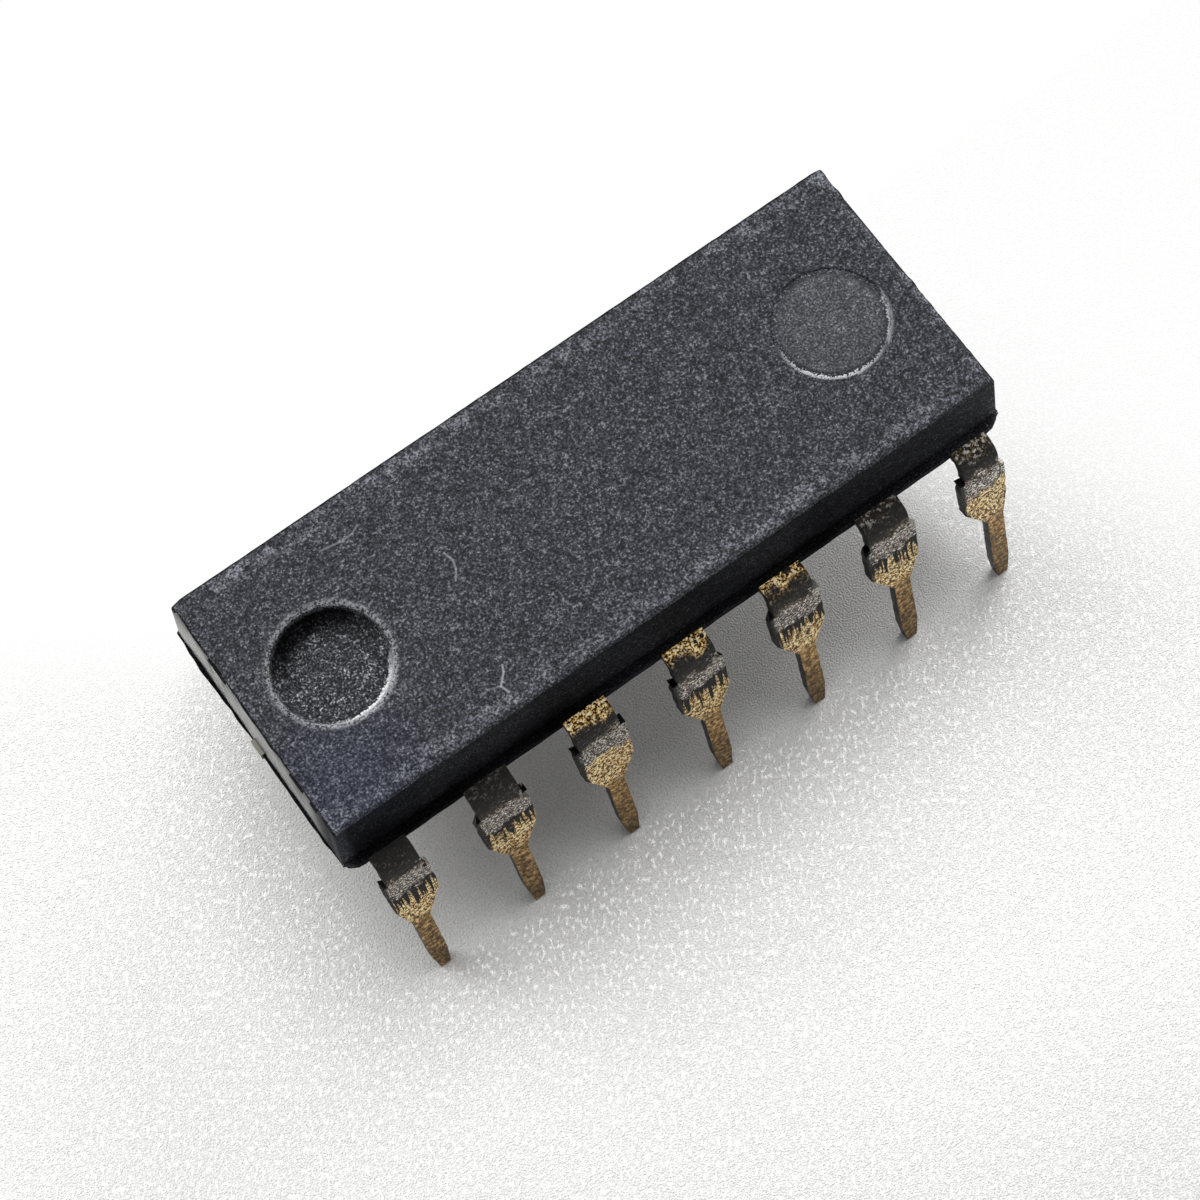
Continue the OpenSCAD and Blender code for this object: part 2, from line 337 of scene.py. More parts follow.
BEND_END = BEND_Y - WALL_Y + BEND_RADIUS * BEND_ANGLE
SHOULDER_START = BEND_END + NECK_LENGTH
SHOULDER_END = SHOULDER_START + SHOULDER_LENGTH
TAPER_END = SHOULDER_END + TAPER_LENGTH
TIP_START = TAPER_END + PIN_LENGTH
# Outer face of the lead where the bend ends
LEG_START_Y = -BEND_Y - BEND_RADIUS * math.sin(BEND_ANGLE)
LEG_START_Z = SHEET_TOP - BEND_RADIUS * (1 - math.cos(BEND_ANGLE))


def lead_strip():
    """One lead's outer face as a folded strip: flat, bend, neck, shoulder, taper, pin and tip."""
    inside = 0.3
    bpy.ops.mesh.primitive_plane_add(
        size=1, location=(0, -(WALL_Y - inside + BEND_Y) / 2 * MM, SHEET_TOP * MM))
    strip = bpy.context.object
    strip.scale = (EXIT_WIDTH * MM, (BEND_Y - WALL_Y + inside) * MM, 1)
    bpy.ops.object.transform_apply(location=True, rotation=True, scale=True)
    start_editing(strip)
    pick(strip, "edges", lambda edge: middle(edge).y < -(BEND_Y - 0.01) * MM)
    bpy.ops.mesh.spin(
        steps=10, angle=-BEND_ANGLE, axis=(1, 0, 0),
        center=(0, -BEND_Y * MM, (SHEET_TOP - BEND_RADIUS) * MM))
    down = Vector((0, -math.sin(SPLAY), -math.cos(SPLAY)))
    steps = (
        (NECK_LENGTH - NECK_FLARE, EXIT_WIDTH, EXIT_WIDTH),
        (NECK_FLARE, EXIT_WIDTH, SHOULDER_WIDTH),
        (SHOULDER_LENGTH, SHOULDER_WIDTH, SHOULDER_LOW_WIDTH),
        (TAPER_LENGTH, SHOULDER_LOW_WIDTH, PIN_WIDTH),
        (PIN_LENGTH, PIN_WIDTH, PIN_WIDTH),
        (TIP_LENGTH, PIN_WIDTH, TIP_WIDTH),
    )
    for length, width, next_width in steps:
        bpy.ops.mesh.extrude_region_move(TRANSFORM_OT_translate={"value": down * length * MM})
        bpy.ops.transform.resize(value=(next_width / width, 1, 1), center_override=(0, 0, 0))
    # Points across the strip, then along its long stretches
    pick(strip, "edges", lambda edge: runs_along(edge, 0))
    bpy.ops.mesh.subdivide(number_cuts=9)
    for shortest, cuts in ((1.6, 24), (1.2, 19), (0.6, 11), (0.25, 5)):
        pick(strip, "edges", lambda edge: not runs_along(edge, 0)
             and edge.calc_length() > shortest * MM)
        bpy.ops.mesh.subdivide(number_cuts=cuts)
    stop_editing()
    map_lead(strip)
    return strip


def map_lead(strip):
    """UV map in millimetres: across the lead, and along it from the body's wall."""
    sheet_map = strip.data.uv_layers.active
    sheet_map.name = "lead map"
    for loop in strip.data.loops:
        place = strip.data.vertices[loop.vertex_index].co / MM
        sheet_map.data[loop.index].uv = (place.x, along_lead(place.y, place.z))


def half_width_at(along):
    """Half the lead's width where the strip has that length along it."""
    stations = (
        (SHOULDER_START, EXIT_WIDTH), (SHOULDER_START + 1e-3, SHOULDER_WIDTH),
        (SHOULDER_END, SHOULDER_LOW_WIDTH), (TAPER_END, PIN_WIDTH),
        (TIP_START, PIN_WIDTH), (TIP_START + TIP_LENGTH, TIP_WIDTH))
    if along <= SHOULDER_START:
        return EXIT_WIDTH / 2
    for (here, width), (there, next_width) in zip(stations, stations[1:]):
        if along <= there:
            return (width + (next_width - width) * (along - here) / (there - here)) / 2
    return TIP_WIDTH / 2


def finish_lead(template, number):
    """One lead from the template: trimmed side, worn edges, thickness, slanted tabs and place."""
    lead = template.copy()
    lead.data = template.data.copy()
    lead.name = f"lead_skin_{number:02d}"
    bpy.context.scene.collection.objects.link(lead)
    place_in_row = (number - 1) % 7 - 3
    outer_side = math.copysign(1, place_in_row) if abs(place_in_row) == 3 else 0
    for v in lead.data.vertices:
        place = v.co / MM
        along = along_lead(place.y, place.z)
        half = half_width_at(along)
        share = abs(place.x) / half
        side = math.copysign(1, place.x)
        if side == outer_side and along < TAPER_END:
            fade = min(1, (TAPER_END - along) / TAPER_LENGTH)
            v.co.x -= side * CORNER_TRIM * share * fade * MM
        # The stub of the dam bar was torn off lower on some leads than on others
        torn = TAB_TORN[number - 1][side > 0]
        if SHOULDER_START - 0.01 < along < SHOULDER_START + torn:
            v.co.x *= min(1, EXIT_WIDTH / 2 / half)
        bent = min(1, max(0, (along - SHOULDER_END) / TAPER_LENGTH))
        v.co.x += PIN_LEAN[number - 1] * bent * MM
        # Cut edges wander by a few hundredths, most where the dam bar was sheared away
        seat = Vector((number * 3.7 + side * 1.9, along * 3.5, 0))
        if share > 0.9:
            sheared = 1 if SHOULDER_START - 0.05 < along < SHOULDER_END else 0.4
            v.co.x -= side * (0.02 + 0.025 * noise.noise(seat)) * sheared * MM
        if 0.9 < share and SHOULDER_START - 0.02 < along < SHOULDER_START + 0.12:
            v.co.z += (0.02 + 0.05 * noise.noise(seat * 2.1)) * MM
    wall = lead.modifiers.new("sheet", "SOLIDIFY")
    wall.thickness = SHEET * MM
    wall.offset = -1
    finish_modifier(lead, wall)
    slant_tabs(lead)
    soften = lead.modifiers.new("rounded cut edges", "BEVEL")
    soften.width = CUT_ROUNDING * MM
    soften.segments = 2
    soften.limit_method = "ANGLE"
    soften.angle_limit = math.radians(50)
    soften.use_clamp_overlap = True
    finish_modifier(lead, soften)
    mark_lead(lead, number)
    turn = Matrix.Rotation(math.pi if number > 7 else 0, 4, "Z")
    lead.data.transform(turn @ Matrix.Translation((place_in_row * PITCH * MM, 0, 0)))
    settle(lead)
    return lead


def slant_tabs(lead):
    """Draws in the inner face under each tab's top, which leaves the sheared end slanting."""
    for v in lead.data.vertices:
        inward, lower = v.co.y / MM - LEG_START_Y, LEG_START_Z - v.co.z / MM
        down = lower * math.cos(SPLAY) - inward * math.sin(SPLAY)
        deep = inward * math.cos(SPLAY) + lower * math.sin(SPLAY)
        past = down - NECK_LENGTH + 0.01
        if deep > SHEET / 2 and 0 <= past < TAB_SLANT:
            neck = EXIT_WIDTH / SHOULDER_WIDTH
            v.co.x *= neck + (1 - neck) * past / TAB_SLANT


# How much each lead is sooted, silvered, pitted and scraped at the shoulder, from lead 1
LEAD_WEAR = (
    (1.0, 0.0, 0.0, 0.8), (1.0, 0.12, 0.0, 0.7), (0.0, 0.0, 0.1, 0.2), (0.0, 0.0, 0.5, 1.0),
    (0.0, 0.05, 1.0, 1.0), (0.95, 0.6, 0.6, 0.9), (0.8, 1.0, 0.6, 0.3),
    (0.4, 0.2, 0.3, 0.6), (0.1, 0.0, 0.5, 0.9), (0.7, 0.1, 0.0, 0.4), (0.0, 0.0, 0.7, 0.8),
    (0.2, 0.1, 0.2, 1.0), (0.6, 0.3, 0.4, 0.5), (0.9, 0.0, 0.1, 0.7))


def mark_lead(lead, number):
    """Attributes that give this lead its own look, and mark the sides where the sheet was cut."""
    soot, silver, pitted, scraped = LEAD_WEAR[number - 1]
    for name, value in (("seat", number * 5.37), ("soot", soot), ("silver", silver),
                        ("pitted", pitted), ("scraped", scraped)):
        layer = lead.data.attributes.new(name, "FLOAT", "POINT")
        layer.data.foreach_set("value", [value] * len(lead.data.vertices))
    sides = lead.data.attributes.new("cut side", "FLOAT", "FACE")
    sides.data.foreach_set(
        "value", [float(abs(face.normal.x) > 0.6) for face in lead.data.polygons])


# Materials

def linear(code):
    """An sRGB hex colour as the linear colour that a socket takes."""
    channels = [int(code[i:i + 2], 16) / 255 for i in (1, 3, 5)]
    return (*(c / 12.92 if c <= 0.04045 else ((c + 0.055) / 1.055) ** 2.4 for c in channels), 1)


def add(tree, kind, fill=None, stops=None, out=0, **settings):
    """Adds a node: sets its properties, fills or links its inputs, and places a ramp's colours.

    Gives back the output socket with the name or number in out.
    """
    made = tree.nodes.new("ShaderNode" + kind)
    for name, value in settings.items():
        setattr(made, name, value)
    for socket, value in (fill or {}).items():
        if isinstance(value, bpy.types.NodeSocket):
            tree.links.new(value, made.inputs[socket])
        else:
            made.inputs[socket].default_value = value
    if stops:
        elements = made.color_ramp.elements
        while len(elements) < len(stops):
            elements.new(0.5)
        for element, (position, colour) in zip(elements, stops):
            element.position = position
            element.color = linear(colour)
    return made.outputs[out] if made.outputs else None


def new_material(name):
    material = bpy.data.materials.new(name)
    material.use_nodes = True
    material.node_tree.nodes.clear()
    return material, material.node_tree


def moulding_grain(tree, place):
    """The pressed texture: fine silica grain over pits and ridges a few tenths of a mm wide."""
    fine = add(tree, "TexNoise", {"Vector": place, "Scale": 21000, "Detail": 1, "Roughness": 0.6})
    coarse = add(tree, "TexNoise", {
        "Vector": place, "Scale": 5200, "Detail": 3, "Roughness": 0.6, "Distortion": 0.6})
    broad = add(tree, "TexNoise", {"Vector": place, "Scale": 1300, "Detail": 3, "Roughness": 0.6})
    mixed = add(tree, "Math", {0: coarse, 1: 0.4}, operation="MULTIPLY")
    mixed = add(tree, "Math", {0: fine, 1: 1.2, 2: mixed}, operation="MULTIPLY_ADD")
    mixed = add(tree, "Math", {0: broad, 1: 0.1, 2: mixed}, operation="MULTIPLY_ADD")
    # The three together have 0.85 as their middle, brought back to 0.5
    return add(tree, "Math", {0: mixed, 1: 0.35}, operation="SUBTRACT"), fine, coarse


def mark_wear_and_painted_light(tree, place, grain, tone):
    """Painted highlights on the marks' rims; painted shade in the lee of the dimple's far wall."""
    # The marks are on the top face only: lower down, every place counts as far from them
    x, y, z = add(tree, "SeparateXYZ", {0: place}).node.outputs
    lower = add(tree, "MapRange", {0: z, 1: 6.4 * MM, 2: 6.5 * MM, 3: 20 * MM, 4: 0})
    flat = add(tree, "CombineXYZ", {"X": x, "Y": y, "Z": lower})
    torn = add(tree, "TexNoise", {
        "Vector": place, "Scale": 9000, "Detail": 3, "Roughness": 0.7, "Distortion": 1.2})
    torn = add(tree, "Mix", {0: 0.45, 2: torn, 3: grain})
    broken_skin = add(tree, "ValToRGB", {0: torn}, stops=(
        (0.36, "#0b0b0d"), (0.45, "#202024"), (0.53, "#393a3e"), (0.6, "#6a6b70"),
        (0.68, "#b9babe")))
    offsets, reaches = {}, {}
    for middle_x, rough_share in ((-MARK_OFFSET, 0.95), (MARK_OFFSET, 0.45)):
        offsets[middle_x] = add(tree, "VectorMath", {0: flat, 1: (middle_x * MM, 0, 0)},
                                operation="SUBTRACT")
        reaches[middle_x] = add(tree, "VectorMath", {0: offsets[middle_x]},
                                operation="LENGTH", out="Value")
        inside = add(tree, "MapRange", {
            0: reaches[middle_x], 1: 1.18 * MM, 2: 1.26 * MM, 3: rough_share, 4: 0})
        tone = add(tree, "Mix", {0: inside, 6: tone, 7: broken_skin}, data_type="RGBA", out=2)
    # Rings painted on the marks: the pale ones are painted highlights on rims and walls facing the
    # light, the black one is painted shade in the ejector's groove, and the third is the print's
    # own paler tone. Middle of the mark, its strongest side, the inner and outer fades of each
    # ring, its strength all round and on that side, how little of it the grain leaves, and its tone
    rings = (
        (-MARK_OFFSET, (0.31, -0.95), 1.24, 1.29, 1.37, 1.46, 0.52, 0.7, 0.05, "#b8b9be"),
        (-MARK_OFFSET, (0.31, -0.95), 1.15, 1.19, 1.27, 1.31, -0.8, 1.0, 0.55, "#f0f1f4"),
        (MARK_OFFSET, (0, 0), -1, -0.9, 1.12, 1.2, 0.25, 0.25, 0.4, "#7b7c80"),
        (MARK_OFFSET, (-0.54, -0.84), 1.21, 1.23, 1.26, 1.3, -0.1, 1.0, 0.5, "#d8d9dd"),
        (MARK_OFFSET, (-0.54, -0.84), 1.12, 1.14, 1.17, 1.2, 0.35, 0.8, 0.4, "#0d0d0e"),
        (MARK_OFFSET, (0.87, -0.49), 1.2, 1.22, 1.3, 1.33, -20.0, 0.8, 0.3, "#b2b3b8"))
    jitter = add(tree, "Math", {0: torn, 1: 0.3 * MM, 2: -0.15 * MM}, operation="MULTIPLY_ADD")
    for middle_x, strong, start, full, fading, end, everywhere, near_side, least, rim_tone in rings:
        ragged = add(tree, "Math", {0: reaches[middle_x], 1: jitter}, operation="ADD")
        facing = add(
            tree, "VectorMath", {0: offsets[middle_x], 1: (strong[0] / MM, strong[1] / MM, 0)},
            operation="DOT_PRODUCT", out="Value")
        rise = add(tree, "MapRange", {0: ragged, 1: start * MM, 2: full * MM})
        fall = add(tree, "MapRange", {0: ragged, 1: fading * MM, 2: end * MM, 3: 1, 4: 0})
        rim = add(tree, "MapRange", {0: facing, 1: 0.35, 2: 1.15, 3: everywhere, 4: near_side})
        rim = add(tree, "Math", {0: rim, 1: 0}, operation="MAXIMUM")
        broken = add(tree, "MapRange", {0: torn, 1: 0.43, 2: 0.55, 3: least, 4: 1})
        for factor in (rise, fall, broken):
            rim = add(tree, "Math", {0: rim, 1: factor}, operation="MULTIPLY")
        tone = add(tree, "Mix", {0: rim, 6: tone, 7: linear(rim_tone)}, data_type="RGBA", out=2)
    # A broken pale line where the dimple's middle flat begins, a painted highlight on its step
    offset, reach = offsets[-MARK_OFFSET], reaches[-MARK_OFFSET]
    off = add(tree, "Math", {0: reach, 1: 0.72 * MM}, operation="SUBTRACT")
    off = add(tree, "Math", {0: off}, operation="ABSOLUTE")
    line = add(tree, "MapRange", {0: off, 1: 0.015 * MM, 2: 0.05 * MM, 3: 0.5, 4: 0})
    broken = add(tree, "MapRange", {0: grain, 1: 0.5, 2: 0.6})
    line = add(tree, "Math", {0: line, 1: broken}, operation="MULTIPLY")
    tone = add(tree, "Mix", {0: line, 6: tone, 7: linear("#a5a6ab")}, data_type="RGBA", out=2)
    # Painted shade on the dimple's back wall, in the lee of the light
    within = add(tree, "MapRange", {0: reach, 1: 1.25 * MM, 2: 1.3 * MM, 3: 1, 4: 0})
    facing = add(tree, "VectorMath", {0: offset, 1: (-0.04 / MM, -0.985 / MM, 0)},
                 operation="DOT_PRODUCT", out="Value")
    lee = add(tree, "MapRange", {
        0: facing, 1: -1.05, 2: 0.15, 3: 0.9, 4: 0}, interpolation_type="SMOOTHSTEP")
    wall = add(tree, "MapRange", {
        0: reach, 1: 0.55 * MM, 2: 1.05 * MM, 3: 0.15, 4: 1}, interpolation_type="SMOOTHSTEP")
    painted_dimple_shade = within
    for factor in (lee, wall):
        painted_dimple_shade = add(tree, "Math", {0: painted_dimple_shade, 1: factor}, operation="MULTIPLY")
    return tone, painted_dimple_shade, within


# Hairlines on the top face: their points in millimetres, and how pale they are
SCRATCHES = (
    (((-5.2, 2.19), (-4.75, 2.11), (-4.45, 2.11), (-4.25, 2.21)), 0.3),
    (((-3.14, 0.61), (-3.08, 0.37), (-3.14, 0.17), (-3.28, -0.03)), 0.38),
    (((-3.56, -2.12), (-3.62, -2.26), (-3.84, -2.48), (-3.78, -2.68)), 0.6),
    (((-3.84, -2.48), (-4.1, -2.39), (-4.26, -2.41)), 0.2),
)


def scratch(tree, place, tone, points, strength):
    """A hairline through the given points of the top face, in millimetres."""
    for (x, y), (next_x, next_y) in zip(points, points[1:]):
        run = Vector(((next_x - x) * MM, (next_y - y) * MM, 0))
        offset = add(tree, "VectorMath", {0: place, 1: (x * MM, y * MM, TOP * MM)},
                     operation="SUBTRACT")
        share = add(tree, "VectorMath", {0: offset, 1: run / run.length_squared},
                    operation="DOT_PRODUCT", out="Value")
        share = add(tree, "Clamp", {0: share})
        nearest = add(tree, "VectorMath", {0: tuple(run), "Scale": share}, operation="SCALE")
        away = add(tree, "VectorMath", {0: offset, 1: nearest}, operation="DISTANCE", out="Value")
        mark = add(tree, "MapRange", {0: away, 1: 0.012 * MM, 2: 0.032 * MM, 3: strength, 4: 0})
        tone = add(tree, "Mix", {0: mark, 6: tone, 7: linear("#a9aaae")}, data_type="RGBA", out=2)
    return tone


def moulding_compound():
    """Epoxy moulding compound: silica grains in black resin, pressed in a spark-eroded mould.

    The eye gets a dull charcoal with fine pale grain, rubbed grey along the edges, with a faint
    blue haze at one corner, a few hairline scratches, and painted highlights round the two marks.
    The side walls came off smoother mould faces and keep a deep black, deepened by painted shade.
    """
    material, tree = new_material("black epoxy moulding compound")
    place = add(tree, "TexCoord", out="Object")
    x, y, z = add(tree, "SeparateXYZ", {0: place}).node.outputs
    grain, fine, coarse = moulding_grain(tree, place)
    tone = add(tree, "ValToRGB", {0: grain}, stops=(
        (0.3, "#1a1a1d"), (0.4, "#28292c"), (0.5, "#35363b"), (0.6, "#46474d"),
        (0.7, "#606167"), (0.8, "#858689")))
    # Pale grains broken open, in loose clusters
    speck = add(tree, "TexVoronoi", {"Vector": place, "Scale": 6500, "Randomness": 1})
    speck = add(tree, "MapRange", {0: speck, 1: 0.1, 2: 0.26, 3: 1, 4: 0})
    cluster = add(tree, "TexNoise", {"Vector": place, "Scale": 1700, "Detail": 6, "Roughness": 0.7})
    cluster = add(tree, "MapRange", {0: cluster, 1: 0.55, 2: 0.75, 3: 0, 4: 0.45})
    speck = add(tree, "Math", {0: speck, 1: cluster}, operation="MULTIPLY")
    # Blue haze of old flux at the near left corner
    haze = add(tree, "VectorMath", {0: place, 1: (-7.5 * MM, -2.4 * MM, 7.1 * MM)},
               operation="DISTANCE", out="Value")
    haze = add(tree, "MapRange", {0: haze, 1: 0.3 * MM, 2: 2.2 * MM, 3: 0.2, 4: 0})
    haze = add(tree, "Math", {0: haze, 1: grain}, operation="MULTIPLY")
    # Edges of the top face rubbed to grey, in broken stretches
    across = add(tree, "Math", {0: y}, operation="ABSOLUTE")
    along = add(tree, "Math", {0: x}, operation="ABSOLUTE")
    long_edge = add(tree, "MapRange", {
        0: across, 1: 2.5 * MM, 2: 2.8 * MM}, interpolation_type="SMOOTHSTEP")
    rounded = add(tree, "MapRange", {0: across, 1: 2.9 * MM, 2: 3.02 * MM, 3: 1, 4: 0.15})
    long_edge = add(tree, "Math", {0: long_edge, 1: rounded}, operation="MULTIPLY")
    short_edge = add(tree, "MapRange", {
        0: along, 1: 8.1 * MM, 2: 8.36 * MM}, interpolation_type="SMOOTHSTEP")
    rubbed = add(tree, "Math", {0: long_edge, 1: short_edge}, operation="MAXIMUM")
    high = add(tree, "MapRange", {0: z, 1: 6.94 * MM, 2: 7 * MM})
    broken = add(tree, "TexNoise", {"Vector": place, "Scale": 2600, "Detail": 7, "Roughness": 0.8})
    broken = add(tree, "MapRange", {0: broken, 1: 0.46, 2: 0.6, 3: 0, 4: 0.8})
    grained = add(tree, "MapRange", {0: fine, 1: 0.42, 2: 0.6, 3: 0.1, 4: 1})
    for factor in (high, broken, grained):
        rubbed = add(tree, "Math", {0: rubbed, 1: factor}, operation="MULTIPLY")
    for share, colour in ((speck, "#9c9ea4"), (haze, "#2a3c74"), (rubbed, "#8f929b")):
        tone = add(tree, "Mix", {0: share, 6: tone, 7: linear(colour)}, data_type="RGBA", out=2)
    for points, strength in SCRATCHES:
        tone = scratch(tree, place, tone, points, strength)
    tone, painted_dimple_shade, within = mark_wear_and_painted_light(tree, place, grain, tone)
    # Side walls below the rounded top edge and outside the marks: own black plus painted shade
    low = add(tree, "MapRange", {0: z, 1: 6.95 * MM, 2: 7 * MM, 3: 1, 4: 0})
    outside = add(tree, "Math", {0: 1, 1: within}, operation="SUBTRACT")
    wall = add(tree, "MapRange", {0: z, 1: 3.86 * MM, 2: 3.9 * MM})
    for factor in (low, outside):
        wall = add(tree, "Math", {0: wall, 1: factor}, operation="MULTIPLY")
    patchy = add(tree, "TexNoise", {"Vector": place, "Scale": 380, "Detail": 2})
    patchy = add(tree, "MapRange", {0: patchy, 1: 0.35, 2: 0.65, 3: 0.82, 4: 0.64})
    # Painted shade: deeper lower down the walls and fainter towards the right end
    low_down = add(tree, "MapRange", {0: z, 1: 5.2 * MM, 2: 6.6 * MM, 3: 0.12, 4: 0})
    patchy = add(tree, "Math", {0: patchy, 1: low_down}, operation="ADD")
    right_end = add(tree, "MapRange", {0: x, 1: 4 * MM, 2: 8.2 * MM, 3: 0, 4: 0.28})
    patchy = add(tree, "Math", {0: patchy, 1: right_end}, operation="SUBTRACT")
    # The near corners are rubbed through to the grain
    corner = add(tree, "CombineXYZ", {"X": along, "Y": y})
    corner = add(tree, "VectorMath", {0: corner, 1: (8.42 * MM, -3.1 * MM, 0)},
                 operation="DISTANCE", out="Value")
    corner = add(tree, "Math", {0: coarse, 1: 0.4 * MM, 2: corner}, operation="MULTIPLY_ADD")
    corner = add(tree, "MapRange", {0: corner, 1: 0.3 * MM, 2: 0.5 * MM, 3: 0.35, 4: 1})
    dark = wall
    for factor in (patchy, corner):
        dark = add(tree, "Math", {0: dark, 1: factor}, operation="MULTIPLY")
    # Darker along the rounded edges at the ends and the back
    end_edge = add(tree, "MapRange", {0: along, 1: 8.33 * MM, 2: 8.36 * MM})
    back_edge = add(tree, "MapRange", {0: y, 1: 3.01 * MM, 2: 3.04 * MM})
    edge_darkening = add(tree, "Math", {0: end_edge, 1: back_edge}, operation="MAXIMUM")
    edge_top = add(tree, "MapRange", {0: z, 1: 6.9 * MM, 2: 6.94 * MM, 3: 0, 4: 0.85})
    edge_darkening = add(tree, "Math", {0: edge_darkening, 1: edge_top}, operation="MULTIPLY")
    for other in (painted_dimple_shade, edge_darkening):
        dark = add(tree, "Math", {0: dark, 1: other}, operation="MAXIMUM")
    keep = add(tree, "Math", {0: 1, 1: dark}, operation="SUBTRACT")
    tone = add(tree, "VectorMath", {0: tone, "Scale": keep}, operation="SCALE")
    # The ends are the smoothest faces and mirror the table at a slant
    end_face = add(tree, "Attribute", attribute_name="end face", out="Fac")
    flash = add(tree, "MapRange", {0: along, 1: 8.505 * MM, 2: 8.515 * MM, 3: 1, 4: 0})
    far_part = add(tree, "MapRange", {0: y, 1: -2.9 * MM, 2: -1.9 * MM, 3: 0.1, 4: 1},
                   interpolation_type="SMOOTHSTEP")
    for factor in (flash, wall, far_part):
        end_face = add(tree, "Math", {0: end_face, 1: factor}, operation="MULTIPLY")
    dull = add(tree, "MapRange", {0: end_face, 3: 0.8, 4: 0.16})
    shine = add(tree, "Math", {0: keep, 1: 0.16}, operation="MULTIPLY")
    shine = add(tree, "Mix", {0: end_face, 2: shine, 3: 0.56})
    rise = add(tree, "Bump", {"Height": coarse, "Strength": 0.6, "Distance": 0.03 * MM})
    relief = add(tree, "MapRange", {0: wall, 3: 0.8, 4: 0.15})
    bump = add(tree, "Bump", {
        "Height": fine, "Strength": relief, "Distance": 0.02 * MM, "Normal": rise})
    shader = add(tree, "BsdfPrincipled", {
        "Base Color": tone, "Roughness": dull, "IOR": 1.5, "Specular IOR Level": shine,
        "Normal": bump})
    add(tree, "OutputMaterial", {"Surface": shader})
    return material


